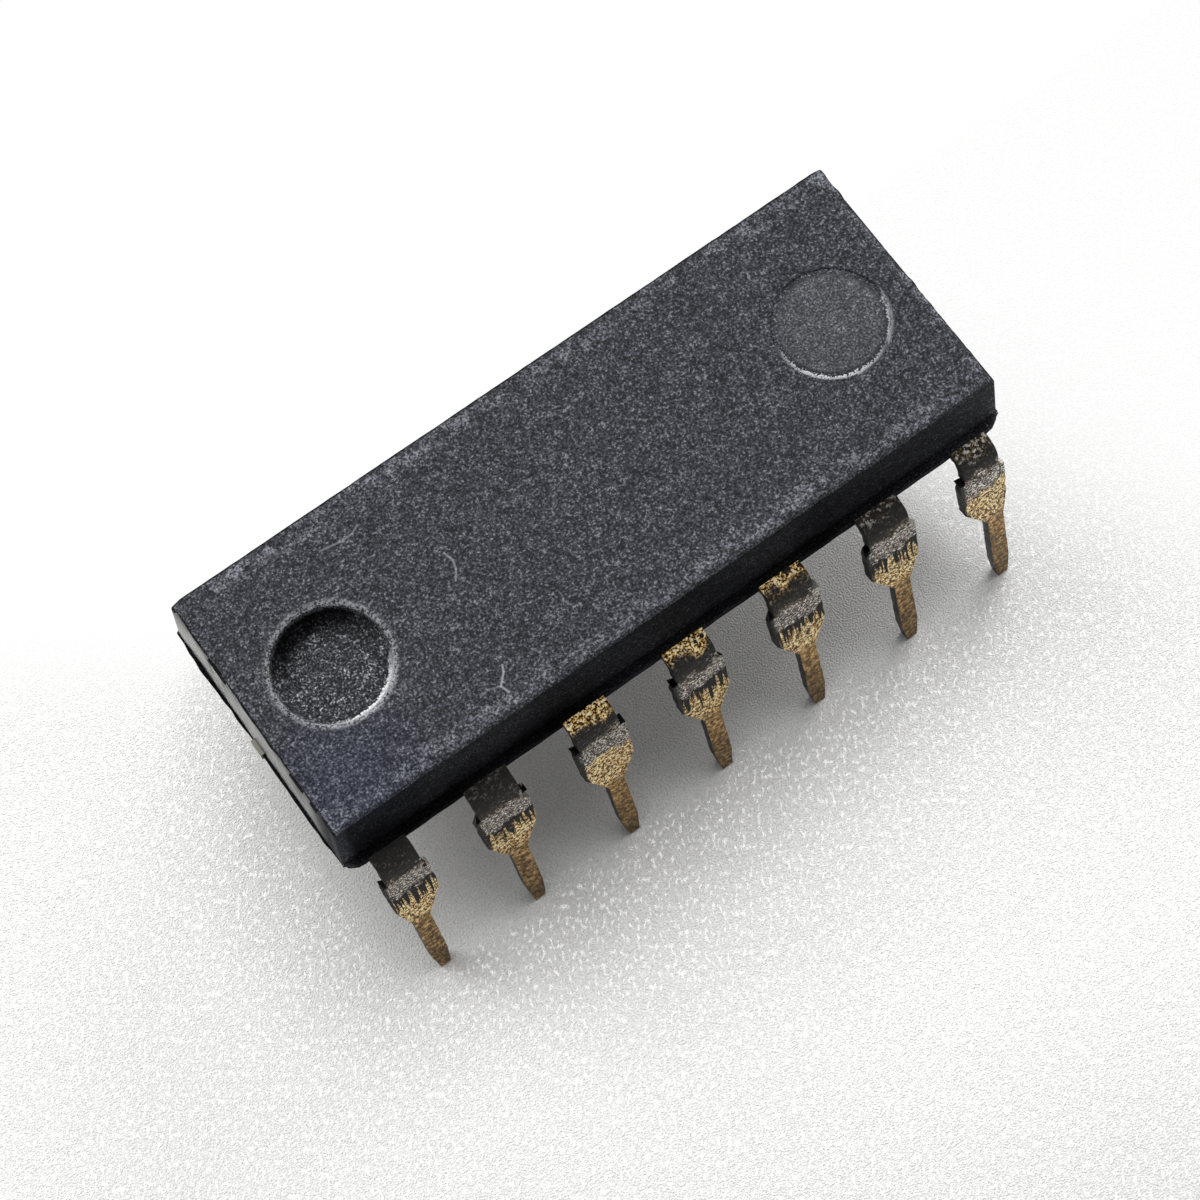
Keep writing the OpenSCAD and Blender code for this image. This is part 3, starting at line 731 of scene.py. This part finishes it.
def tarnished_gold_plate():
    """Nickel-iron sheet with a thin gold plate, tarnished and scraped in a socket.

    From the body down the eye gets mottled gold with black pits, a charcoal band round the bend,
    partly soot and partly painted shade, taupe bare metal, black scraped teeth, bright gold, and
    a gold-brown pin, darkened towards its tip by painted shade.
    Each lead has its own share of gold, soot, silver and pits, and its own seat in the patterns.
    """
    material, tree = new_material("tarnished gold plate")
    surface = add(tree, "UVMap", uv_map="lead map")
    seat, soot, silver, pitted, scraped, cut_side = (
        add(tree, "Attribute", attribute_name=name, out="Fac")
        for name in ("seat", "soot", "silver", "pitted", "scraped", "cut side"))
    across, down = add(tree, "SeparateXYZ", {0: surface}).node.outputs[:2]
    spot = add(tree, "CombineXYZ", {"X": across, "Y": down, "Z": seat})
    # Mottle of the worn plate, 0.04 to 0.2 mm
    mottle = add(tree, "TexNoise", {"Vector": spot, "Scale": 10, "Detail": 3, "Roughness": 0.65})
    fine = add(tree, "TexNoise", {"Vector": spot, "Scale": 19, "Detail": 2, "Roughness": 0.6})
    both = add(tree, "Math", {0: mottle, 1: 0.45}, operation="MULTIPLY")
    both = add(tree, "Math", {0: fine, 1: 0.55, 2: both}, operation="MULTIPLY_ADD")
    gold = add(tree, "ValToRGB", {0: both}, stops=(
        (0.42, "#120b04"), (0.462, "#553612"), (0.492, "#b47e2e"), (0.518, "#ecc570"),
        (0.55, "#fff3cc")))
    soft = add(tree, "Mix", {0: 0.25, 2: mottle, 3: fine})
    pin = add(tree, "ValToRGB", {0: soft}, stops=(
        (0.37, "#241a0d"), (0.45, "#6f532c"), (0.53, "#a88149"), (0.61, "#ebc78a")))
    # The pin is duller and browner than the plate above it, with painted shade darkening it to the
    # tip
    start = add(tree, "MapRange", {0: down, 1: 2.9, 2: 3.4}, interpolation_type="SMOOTHSTEP")
    tone = add(tree, "Mix", {0: start, 6: gold, 7: pin}, data_type="RGBA", out=2)
    tip_shade_and_tarnish = add(tree, "MapRange", {0: down, 1: 3.2, 2: 5.7, 3: 1.02, 4: 0.42})
    # Edges of the zones wander, and so does the pin's tarnish
    ragged = add(tree, "TexNoise", {"Vector": spot, "Scale": 1.9, "Detail": 6, "Roughness": 0.75})
    tarnish = add(tree, "MapRange", {0: ragged, 1: 0.35, 2: 0.65, 3: 0.72, 4: 1.2})
    tip_shade_and_tarnish = add(tree, "Math", {0: tip_shade_and_tarnish, 1: tarnish}, operation="MULTIPLY")
    tone = add(tree, "VectorMath", {0: tone, "Scale": tip_shade_and_tarnish}, operation="SCALE")
    shifted = add(tree, "MapRange", {0: ragged, 1: 0.25, 2: 0.75, 3: -0.4, 4: 0.4})
    level = add(tree, "Math", {0: down, 1: shifted}, operation="ADD")
    # Bare metal of the shoulder, scratched across and a little aslant
    stretched = add(tree, "Mapping", {
        "Vector": spot, "Rotation": (0, 0, math.radians(8)), "Scale": (6, 14, 1)})
    scratches = add(tree, "TexNoise", {
        "Vector": stretched, "Scale": 1.5, "Detail": 5, "Roughness": 0.75})
    worn = add(tree, "Math", {0: scratches, 1: fine}, operation="ADD")
    worn = add(tree, "Math", {0: worn, 1: 0.5}, operation="MULTIPLY")
    bare = add(tree, "ValToRGB", {0: worn}, stops=(
        (0.44, "#0e0c0b"), (0.475, "#37322d"), (0.505, "#71685f"), (0.54, "#b9afa3"),
        (0.575, "#fbf6ee")))
    bare_top = add(tree, "MapRange", {0: level, 1: 1.02, 2: 1.22})
    bare_low = add(tree, "MapRange", {0: level, 1: 1.82, 2: 1.98, 3: 1, 4: 0})
    bare_here = add(tree, "Math", {0: bare_top, 1: bare_low}, operation="MULTIPLY")
    # Black teeth scraped through the plate: solid above, parted into strokes along the lead below
    combed = add(tree, "VectorMath", {0: spot, 1: (16, 0.8, 1)}, operation="MULTIPLY")
    strokes = add(tree, "TexNoise", {"Vector": combed, "Scale": 1, "Detail": 2, "Roughness": 0.5})
    strokes = add(tree, "MapRange", {0: strokes, 1: 0.36, 2: 0.64, 3: -0.42, 4: 0.42})
    reach = add(tree, "Math", {0: down, 1: strokes}, operation="ADD")
    teeth_low = add(tree, "MapRange", {0: reach, 1: 2.18, 2: 2.26, 3: 1, 4: 0})
    teeth_top = add(tree, "MapRange", {0: level, 1: 1.76, 2: 1.84})
    gaps = add(tree, "Math", {0: ragged, 1: scraped}, operation="ADD")
    gaps = add(tree, "MapRange", {0: gaps, 1: 1.1, 2: 1.16})
    teeth = teeth_top
    for factor in (teeth_low, gaps):
        teeth = add(tree, "Math", {0: teeth, 1: factor}, operation="MULTIPLY")
    # Charcoal band round the bend: partly soot, partly painted shade where it faces away from the
    # light
    band_top = add(tree, "MapRange", {0: level, 1: 0.38, 2: 0.6})
    band_low = add(tree, "Math", {0: 1, 1: bare_top}, operation="SUBTRACT")
    band = add(tree, "Math", {0: band_top, 1: band_low}, operation="MULTIPLY")
    charcoal = add(tree, "ValToRGB", {0: both}, stops=(
        (0.4, "#080707"), (0.5, "#171514"), (0.57, "#2d2926"), (0.66, "#6f6860")))
    # The soot of the lead's top runs into it
    above = add(tree, "Math", {0: 1, 1: band_top}, operation="SUBTRACT")
    soot_and_band_shade = add(tree, "Math", {0: above, 1: soot}, operation="MULTIPLY")
    soot_and_band_shade = add(tree, "Math", {0: soot_and_band_shade, 1: band}, operation="ADD")
    # Broken black line where the dam bar was sheared
    shear_off = add(tree, "Math", {0: level, 1: 1.1}, operation="SUBTRACT")
    shear_off = add(tree, "Math", {0: shear_off}, operation="ABSOLUTE")
    shear = add(tree, "MapRange", {0: shear_off, 1: 0.03, 2: 0.08, 3: 0.9, 4: 0})
    shear_here = add(tree, "MapRange", {0: mottle, 1: 0.46, 2: 0.52})
    shear = add(tree, "Math", {0: shear, 1: shear_here}, operation="MULTIPLY")
    # Top of the lead, above the band: silver blotches and round black pits
    blotch = add(tree, "MapRange", {0: mottle, 1: 0.52, 2: 0.58})
    for factor in (silver, above):
        blotch = add(tree, "Math", {0: blotch, 1: factor}, operation="MULTIPLY")
    pit = add(tree, "TexVoronoi", {"Vector": spot, "Scale": 3.6, "Randomness": 1})
    size = add(tree, "Math", {0: pitted, 1: 0.44}, operation="MULTIPLY")
    pit = add(tree, "Math", {0: size, 1: pit}, operation="SUBTRACT")
    pit = add(tree, "MapRange", {0: pit, 1: 0, 2: 0.04})
    pit = add(tree, "Math", {0: pit, 1: above}, operation="MULTIPLY")
    # Cut sides of the sheet, never plated well, and the black burr along the shoulder's left edge;
    # their near-black is partly painted shade
    burr_and_edge_shade = add(tree, "Math", {0: shifted, 1: 0.22, 2: across}, operation="MULTIPLY_ADD")
    burr_and_edge_shade = add(tree, "MapRange", {0: burr_and_edge_shade, 1: -0.58, 2: -0.54, 3: 1, 4: 0})
    side = add(tree, "Math", {0: cut_side, 1: burr_and_edge_shade}, operation="MAXIMUM")
    # Bright torn metal at the right tab's corner
    corner = add(tree, "Math", {0: across, 1: 0.5, 2: mottle}, operation="MULTIPLY_ADD")
    corner = add(tree, "MapRange", {0: corner, 1: 0.78, 2: 0.84, 3: 0, 4: 0.85})
    below = add(tree, "MapRange", {0: down, 1: 0.85, 2: 0.95})
    above_taper = add(tree, "MapRange", {0: down, 1: 1.25, 2: 1.4, 3: 1, 4: 0})
    front = add(tree, "Math", {0: 1, 1: cut_side}, operation="SUBTRACT")
    for factor in (below, above_taper, front):
        corner = add(tree, "Math", {0: corner, 1: factor}, operation="MULTIPLY")
    # Each coat over the ones before it
    for share, coat in (
            (bare_here, bare), (teeth, linear("#120e0c")), (soot_and_band_shade, charcoal),
            (shear, linear("#0c0b0a")), (blotch, linear("#dcd8d2")), (pit, linear("#120d09")),
            (side, linear("#171513")), (corner, linear("#d8d5cc"))):
        tone = add(tree, "Mix", {0: share, 6: tone, 7: coat}, data_type="RGBA", out=2)
    # Soot, the painted-shade band, pits and teeth are dull and not metallic
    covered = soot_and_band_shade
    for other in (pit, teeth):
        covered = add(tree, "Math", {0: covered, 1: other}, operation="MAXIMUM")
    rough = add(tree, "MapRange", {0: covered, 3: 0.34, 4: 0.7})
    metal = add(tree, "MapRange", {0: covered, 3: 0.85, 4: 0.1})
    rise = add(tree, "Math", {0: both, 1: scratches}, operation="ADD")
    bump = add(tree, "Bump", {"Height": rise, "Strength": 0.8, "Distance": 0.06 * MM})
    shader = add(tree, "BsdfPrincipled", {
        "Base Color": tone, "Roughness": rough, "Metallic": metal, "Specular IOR Level": 0.3,
        "Normal": bump})
    add(tree, "OutputMaterial", {"Surface": shader})
    return material


def plain_finish(name, dark, light, grain, metallic, roughness, depth, cut_end=None):
    """A finish for the pieces sealed in the moulding, mottled at the given grain in millimetres.

    Past cut_end, from the middle of the chip, the metal is tarnished a dark grey.
    """
    material, tree = new_material(name)
    place = add(tree, "TexCoord", out="Object")
    mottle = add(tree, "TexNoise", {"Vector": place, "Scale": 1 / (grain * MM), "Detail": 4})
    tone = add(tree, "ValToRGB", {0: mottle}, stops=((0.35, dark), (0.65, light)))
    if cut_end:
        cut = add(tree, "SeparateXYZ", {0: place}, out="X")
        cut = add(tree, "Math", {0: cut}, operation="ABSOLUTE")
        cut = add(tree, "Math", {0: cut, 1: cut_end * MM}, operation="GREATER_THAN")
        tone = add(tree, "MixRGB", {0: cut, 1: tone, 2: linear("#494743")})
    bump = add(tree, "Bump", {"Height": mottle, "Strength": 0.5, "Distance": depth * MM})
    shader = add(tree, "BsdfPrincipled", {
        "Base Color": tone, "Metallic": metallic, "Roughness": roughness,
        "Normal": bump})
    add(tree, "OutputMaterial", {"Surface": shader})
    return material


def white_for_eye(tree):
    """1 for rays that the eye or a mirror sees, and 0 for those that only light the scene."""
    ray = add(tree, "LightPath").node.outputs
    seen = ray["Is Camera Ray"]
    for other in ("Is Glossy Ray", "Is Transmission Ray"):
        seen = add(tree, "Math", {0: seen, 1: ray[other]}, operation="MAXIMUM")
    return seen


def white_foam():
    """Thin white foam sheet: a glossy skin over small closed cells, bright and slightly pebbled.

    Far from the camera it burns out to plain white, and near it the sheet is a little greyer,
    which is painted shade.
    """
    material, tree = new_material("white foam sheet")
    place = add(tree, "TexCoord", out="Object")
    height = add(tree, "TexNoise", {"Vector": place, "Scale": 22000, "Detail": 1, "Roughness": 0.6})
    bump = add(tree, "Bump", {"Height": height, "Strength": 1.0, "Distance": 0.055 * MM})
    # Painted shade: the sheet greys towards the camera
    nearest = add(tree, "VectorMath", {0: place, 1: (-0.3 / MM, -0.95 / MM, 0)},
                  operation="DOT_PRODUCT", out="Value")
    near = add(tree, "MapRange", {0: nearest, 1: 11, 2: 17})
    tone = add(tree, "Mix", {0: near, 6: linear("#fafaf8"), 7: linear("#e8e8e7")},
               data_type="RGBA", out=2)
    # Painted shade in the cells' hollows and painted glints on their tops
    cell_shade_and_glint = add(tree, "MapRange", {0: height, 1: 0.36, 2: 0.64, 3: 0.87, 4: 1.04})
    tone = add(tree, "VectorMath", {0: tone, "Scale": cell_shade_and_glint}, operation="SCALE")
    # Small drawn-out facets of the skin that catch the lamps
    drawn = add(tree, "Mapping", {
        "Vector": place, "Rotation": (0, 0, math.radians(-36)), "Scale": (1, 1.8, 1)},
        vector_type="TEXTURE")
    facets = add(tree, "TexNoise", {"Vector": drawn, "Scale": 12000, "Detail": 1})
    facets = add(tree, "MapRange", {0: facets, 1: 0.54, 2: 0.68, 3: 0, 4: 0.45})
    shader = add(tree, "BsdfPrincipled", {
        "Base Color": tone, "Roughness": 0.4, "IOR": 1.45, "Normal": bump,
        "Coat Weight": facets, "Coat Roughness": 0.15, "Coat IOR": 1.9})
    # White where the photograph has burnt out
    seen = white_for_eye(tree)
    towards = add(tree, "VectorMath", {0: place, 1: (-0.577 / MM, -0.817 / MM, 0)},
                  operation="DOT_PRODUCT", out="Value")
    far = add(tree, "MapRange", {0: towards, 1: 3.5, 2: 0}, interpolation_type="SMOOTHSTEP")
    behind = add(tree, "SeparateXYZ", {0: place}, out="Y")
    behind = add(tree, "MapRange", {
        0: behind, 1: 2.5 * MM, 2: 5 * MM}, interpolation_type="SMOOTHSTEP")
    far = add(tree, "Math", {0: far, 1: behind}, operation="MULTIPLY")
    right = add(tree, "VectorMath", {0: place, 1: (0.8 / MM, 0.6 / MM, 0)},
                operation="DOT_PRODUCT", out="Value")
    right = add(tree, "MapRange", {
        0: right, 1: 2.5, 2: 8, 3: 0, 4: 0.8}, interpolation_type="SMOOTHSTEP")
    far = add(tree, "Math", {0: far, 1: right}, operation="MAXIMUM")
    far = add(tree, "Math", {0: far, 1: seen}, operation="MULTIPLY")
    white = add(tree, "Emission", {"Color": WHITE, "Strength": 1})
    mixed = add(tree, "MixShader", {0: far, 1: shader, 2: white})
    add(tree, "OutputMaterial", {"Surface": mixed})
    return material


# Stage, light and camera

def foam_sheet():
    bpy.ops.mesh.primitive_plane_add(size=0.6, location=(0, 0, 0))
    sheet = bpy.context.object
    sheet.name = "foam_sheet"
    sheet.data.materials.append(white_foam())


def soft_light(name, azimuth, elevation, strength):
    """A large diffuser far off, 36 degrees across as the object sees it, from a given direction."""
    lamp = bpy.data.lights.new(name, "SUN")
    lamp.angle = math.radians(36)
    lamp.energy = strength
    holder = bpy.data.objects.new(name, lamp)
    bpy.context.scene.collection.objects.link(holder)
    azimuth, elevation = math.radians(azimuth), math.radians(elevation)
    level = math.cos(elevation)
    towards = Vector((level * math.cos(azimuth), level * math.sin(azimuth), math.sin(elevation)))
    holder.location = towards * 0.3
    holder.rotation_euler = towards.to_track_quat("Z", "Y").to_euler()


def studio_light():
    world = bpy.data.worlds.new("plain white room")
    bpy.context.scene.world = world
    world.use_nodes = True
    tree = world.node_tree
    tree.nodes.clear()
    seen = white_for_eye(tree)
    room = add(tree, "Background", {"Color": WHITE, "Strength": 0.23})
    white = add(tree, "Background", {"Color": WHITE, "Strength": 1})
    mixed = add(tree, "MixShader", {0: seen, 1: room, 2: white})
    add(tree, "OutputWorld", {"Surface": mixed})
    soft_light("key from above", 60, 70, 1.76)
    soft_light("fill from behind", 120, 48, 1.16)
    soft_light("low light from the right", 30, 25, 1.08)


def camera():
    """Stands where the photograph was taken, 78 mm off, with the lens of its perspective."""
    lens = bpy.data.cameras.new("camera")
    lens.sensor_width = 36
    lens.lens = 103.011
    lens.clip_start = 0.001
    lens.clip_end = 10
    right = Vector((0.814563, -0.577416, -0.055471))
    down = Vector((-0.560835, -0.759513, -0.32955))
    ahead = Vector((0.148156, 0.29955, -0.942507))
    holder = bpy.data.objects.new("camera", lens)
    bpy.context.scene.collection.objects.link(holder)
    turn = Matrix((right, -down, -ahead)).transposed().to_4x4()
    eye = Vector((-11.621, -23.385, 73.85)) * MM
    holder.matrix_world = Matrix.Translation(eye) @ turn
    bpy.context.scene.camera = holder


# The scene

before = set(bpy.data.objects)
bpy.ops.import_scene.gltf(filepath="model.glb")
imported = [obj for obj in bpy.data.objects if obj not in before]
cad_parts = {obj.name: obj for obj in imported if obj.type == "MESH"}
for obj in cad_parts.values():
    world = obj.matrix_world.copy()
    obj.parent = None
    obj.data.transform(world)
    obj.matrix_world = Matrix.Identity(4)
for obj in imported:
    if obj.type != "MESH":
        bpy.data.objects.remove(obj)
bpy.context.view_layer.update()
bpy.context.scene.view_settings.view_transform = "Standard"
camera()
studio_light()
foam_sheet()

body = moulded_body()
body.data.materials.clear()
body.data.materials.append(moulding_compound())
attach(body, "root")
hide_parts("moulded_body")

template = lead_strip()
gold = tarnished_gold_plate()
for number in range(1, 15):
    lead = finish_lead(template, number)
    lead.data.materials.clear()
    lead.data.materials.append(gold)
    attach(lead, "root")
    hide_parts(f"lead_{number:02d}")
bpy.data.objects.remove(template)

# The sealed pieces keep their solid shapes
inside = {
    "die_paddle": plain_finish(
        "gold-plated paddle", "#8a7445", "#c9a960", 0.15, 1, 0.35, 0.004, cut_end=8.3),
    "die_attach": plain_finish(
        "silver-filled adhesive", "#8c8d8b", "#c4c5c2", 0.06, 0.3, 0.5, 0.01),
    "silicon_die": plain_finish("polished silicon", "#2c333d", "#4a5563", 0.3, 0.2, 0.15, 0.001),
}
wire_gold = plain_finish("drawn gold wire", "#c99a35", "#f0c560", 0.02, 1, 0.25, 0.001)
for name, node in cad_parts.items():
    finish = wire_gold if name.startswith("bond_wire") else inside.get(name)
    if finish:
        for seat in node.material_slots:
            seat.material = finish
